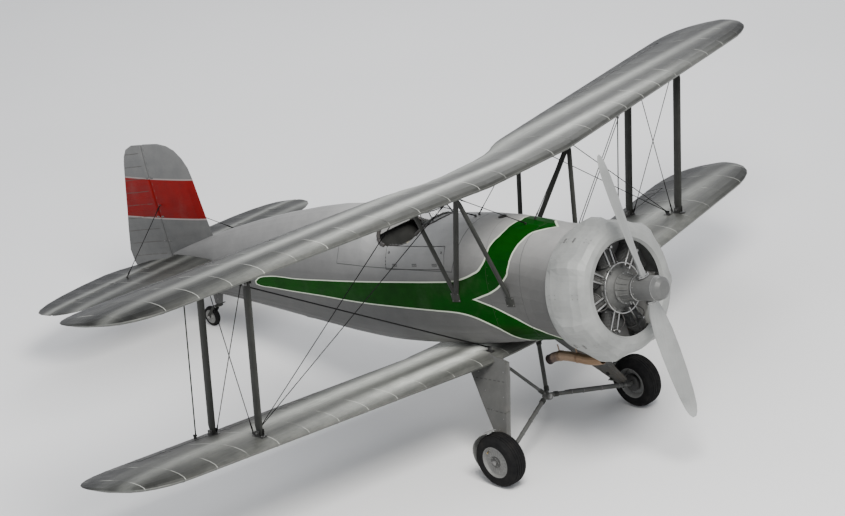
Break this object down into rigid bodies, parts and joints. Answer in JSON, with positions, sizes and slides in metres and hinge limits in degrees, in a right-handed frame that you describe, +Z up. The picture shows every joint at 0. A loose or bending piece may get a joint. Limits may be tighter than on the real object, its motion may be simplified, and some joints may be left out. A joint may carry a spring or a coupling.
{
  "type": "single-seat aerobatic biplane",
  "caption": "Single-seat aerobatic biplane with swept wings, radial engine in a ring cowling, open cockpit and fixed tail-wheel landing gear.",
  "frame": {"origin": "centre of the bounding box, on the floor, with the aeroplane parked tail down on its three wheels", "axes": "+X towards the left wing tip, along the span; nose towards -Y; +Z up"},
  "size_m": [6.5862, 6.0142, 2.4129],
  "materials": {
    "hull_paint": "silver-grey, satin, with a dark green stripe and a red tail band",
    "doped_fabric": "silver dope over ribs, satin",
    "metal_panel": "silver, satin",
    "strut_paint": "dark grey, satin",
    "leg_paint": "grey, satin",
    "wire_steel": "drawn wire",
    "engine_paint": "dark grey, slightly oily",
    "exhaust_metal": "heat-stained brown",
    "prop_metal": "satin",
    "tyre_rubber": "black, worn",
    "wheel_disc": "light grey, satin",
    "panel_black": "black, crackle",
    "screen_clear": "clear"
  },
  "bodies": {
    "airframe": {"fuselage": "hull_paint", "fin": "hull_paint", "upper_centre_section": "doped_fabric", "upper_wing_left": "doped_fabric", "upper_wing_right": "doped_fabric", "lower_carry_through": "doped_fabric", "lower_wing_left": "doped_fabric", "lower_wing_right": "doped_fabric", "tailplane": "doped_fabric", "strut_front_left": "strut_paint", "strut_front_right": "strut_paint", "strut_rear_left": "strut_paint", "strut_rear_right": "strut_paint", "cabane_left": "strut_paint", "cabane_right": "strut_paint", "flying_wires_left": "wire_steel", "flying_wires_right": "wire_steel", "landing_wires_left": "wire_steel", "landing_wires_right": "wire_steel", "engine_cowling": "metal_panel", "engine": "engine_paint", "exhaust_pipe": "exhaust_metal", "gear_leg_left": "leg_paint", "gear_leg_right": "leg_paint", "half_axle_left": "strut_paint", "half_axle_right": "strut_paint", "gear_vee": "strut_paint", "tail_wheel_post": "leg_paint", "seat": "strut_paint", "control_stick": "panel_black", "instrument_panel": "panel_black", "windscreen": "screen_clear"},
    "propeller": {"propeller": "prop_metal"},
    "flap_left": {"cockpit_flap_left": "hull_paint"},
    "flap_right": {"cockpit_flap_right": "hull_paint"},
    "lower_aileron_left": {"lower_aileron_left": "doped_fabric"},
    "lower_aileron_right": {"lower_aileron_right": "doped_fabric"},
    "upper_aileron_left": {"upper_aileron_left": "doped_fabric"},
    "upper_aileron_right": {"upper_aileron_right": "doped_fabric"},
    "link_left": {"aileron_link_left": "strut_paint"},
    "link_right": {"aileron_link_right": "strut_paint"},
    "elevator": {"elevator": "doped_fabric"},
    "rudder": {"rudder": "hull_paint"},
    "wheel_left": {"tyre_left": "tyre_rubber", "wheel_left": "wheel_disc"},
    "wheel_right": {"tyre_right": "tyre_rubber", "wheel_right": "wheel_disc"},
    "tail_fork": {"tail_wheel_fork": "strut_paint"},
    "tail_wheel": {"tail_wheel": "tyre_rubber"}
  },
  "joints": [
    {"name": "propeller_spin", "type": "hinge", "parent": "airframe", "child": "propeller", "pos_m": [0, -2.7877, 1.42815], "axis": [0, -0.9768, 0.214], "continuous": true},
    {"name": "wheel_left_spin", "type": "hinge", "parent": "airframe", "child": "wheel_left", "pos_m": [0.736, -1.92226, 0.19639], "axis": [1, 0, 0], "continuous": true},
    {"name": "wheel_right_spin", "type": "hinge", "parent": "airframe", "child": "wheel_right", "pos_m": [-0.736, -1.92226, 0.19639], "axis": [1, 0, 0], "continuous": true},
    {"name": "tail_wheel_steer", "type": "hinge", "parent": "airframe", "child": "tail_fork", "pos_m": [0, 1.93504, 0.2194], "axis": [0, 0.214, 0.9768], "range_deg": [-30, 30]},
    {"name": "tail_wheel_spin", "type": "hinge", "parent": "tail_fork", "child": "tail_wheel", "pos_m": [0, 2.05182, 0.08427], "axis": [1, 0, 0], "continuous": true},
    {"name": "rudder_swing", "type": "hinge", "parent": "airframe", "child": "rudder", "pos_m": [0, 2.51791, 0.87996], "axis": [0, 0.214, 0.9768], "range_deg": [-28, 28]},
    {"name": "elevator_swing", "type": "hinge", "parent": "airframe", "child": "elevator", "pos_m": [0, 2.38635, 0.55048], "axis": [1, 0, 0], "range_deg": [-25, 28]},
    {"name": "lower_aileron_left_swing", "type": "hinge", "parent": "airframe", "child": "lower_aileron_left", "pos_m": [2.1, -0.58808, 0.64494], "axis": [0.9867, 0.1588, 0.0358], "range_deg": [-20, 20]},
    {"name": "lower_aileron_right_swing", "type": "hinge", "parent": "airframe", "child": "lower_aileron_right", "pos_m": [-2.1, -0.58808, 0.64494], "axis": [0.9867, -0.1588, -0.0358], "range_deg": [-20, 20]},
    {"name": "upper_aileron_left_swing", "type": "hinge", "parent": "airframe", "child": "upper_aileron_left", "pos_m": [2.1, -0.71342, 1.95015], "axis": [0.9804, 0.1963, -0.0195], "range_deg": [-20, 20]},
    {"name": "upper_aileron_right_swing", "type": "hinge", "parent": "airframe", "child": "upper_aileron_right", "pos_m": [-2.1, -0.71342, 1.95015], "axis": [0.9804, -0.1963, 0.0195], "range_deg": [-20, 20]},
    {"name": "link_left_swing", "type": "hinge", "parent": "lower_aileron_left", "child": "link_left", "pos_m": [2.262, -0.45846, 0.65619], "axis": [0.9867, 0.1588, 0.0358], "range_deg": [-20, 20]},
    {"name": "link_right_swing", "type": "hinge", "parent": "lower_aileron_right", "child": "link_right", "pos_m": [-2.262, -0.45846, 0.65619], "axis": [0.9867, -0.1588, -0.0358], "range_deg": [-20, 20]},
    {"name": "flap_left_swing", "type": "hinge", "parent": "airframe", "child": "flap_left", "pos_m": [0.34443, -0.83462, 1.26846], "axis": [0, 0.9768, -0.214], "range_deg": [0, 150]},
    {"name": "flap_right_swing", "type": "hinge", "parent": "airframe", "child": "flap_right", "pos_m": [-0.34443, -0.83462, 1.26846], "axis": [0, -0.9768, 0.214], "range_deg": [0, 150]}
  ],
  "couplings": [
    {"joint": "lower_aileron_right_swing", "follows": "lower_aileron_left_swing", "ratio": -1},
    {"joint": "upper_aileron_left_swing", "follows": "lower_aileron_left_swing", "ratio": 1},
    {"joint": "upper_aileron_right_swing", "follows": "lower_aileron_left_swing", "ratio": -1},
    {"joint": "link_left_swing", "follows": "lower_aileron_left_swing", "ratio": -1},
    {"joint": "link_right_swing", "follows": "lower_aileron_left_swing", "ratio": 1}
  ]
}
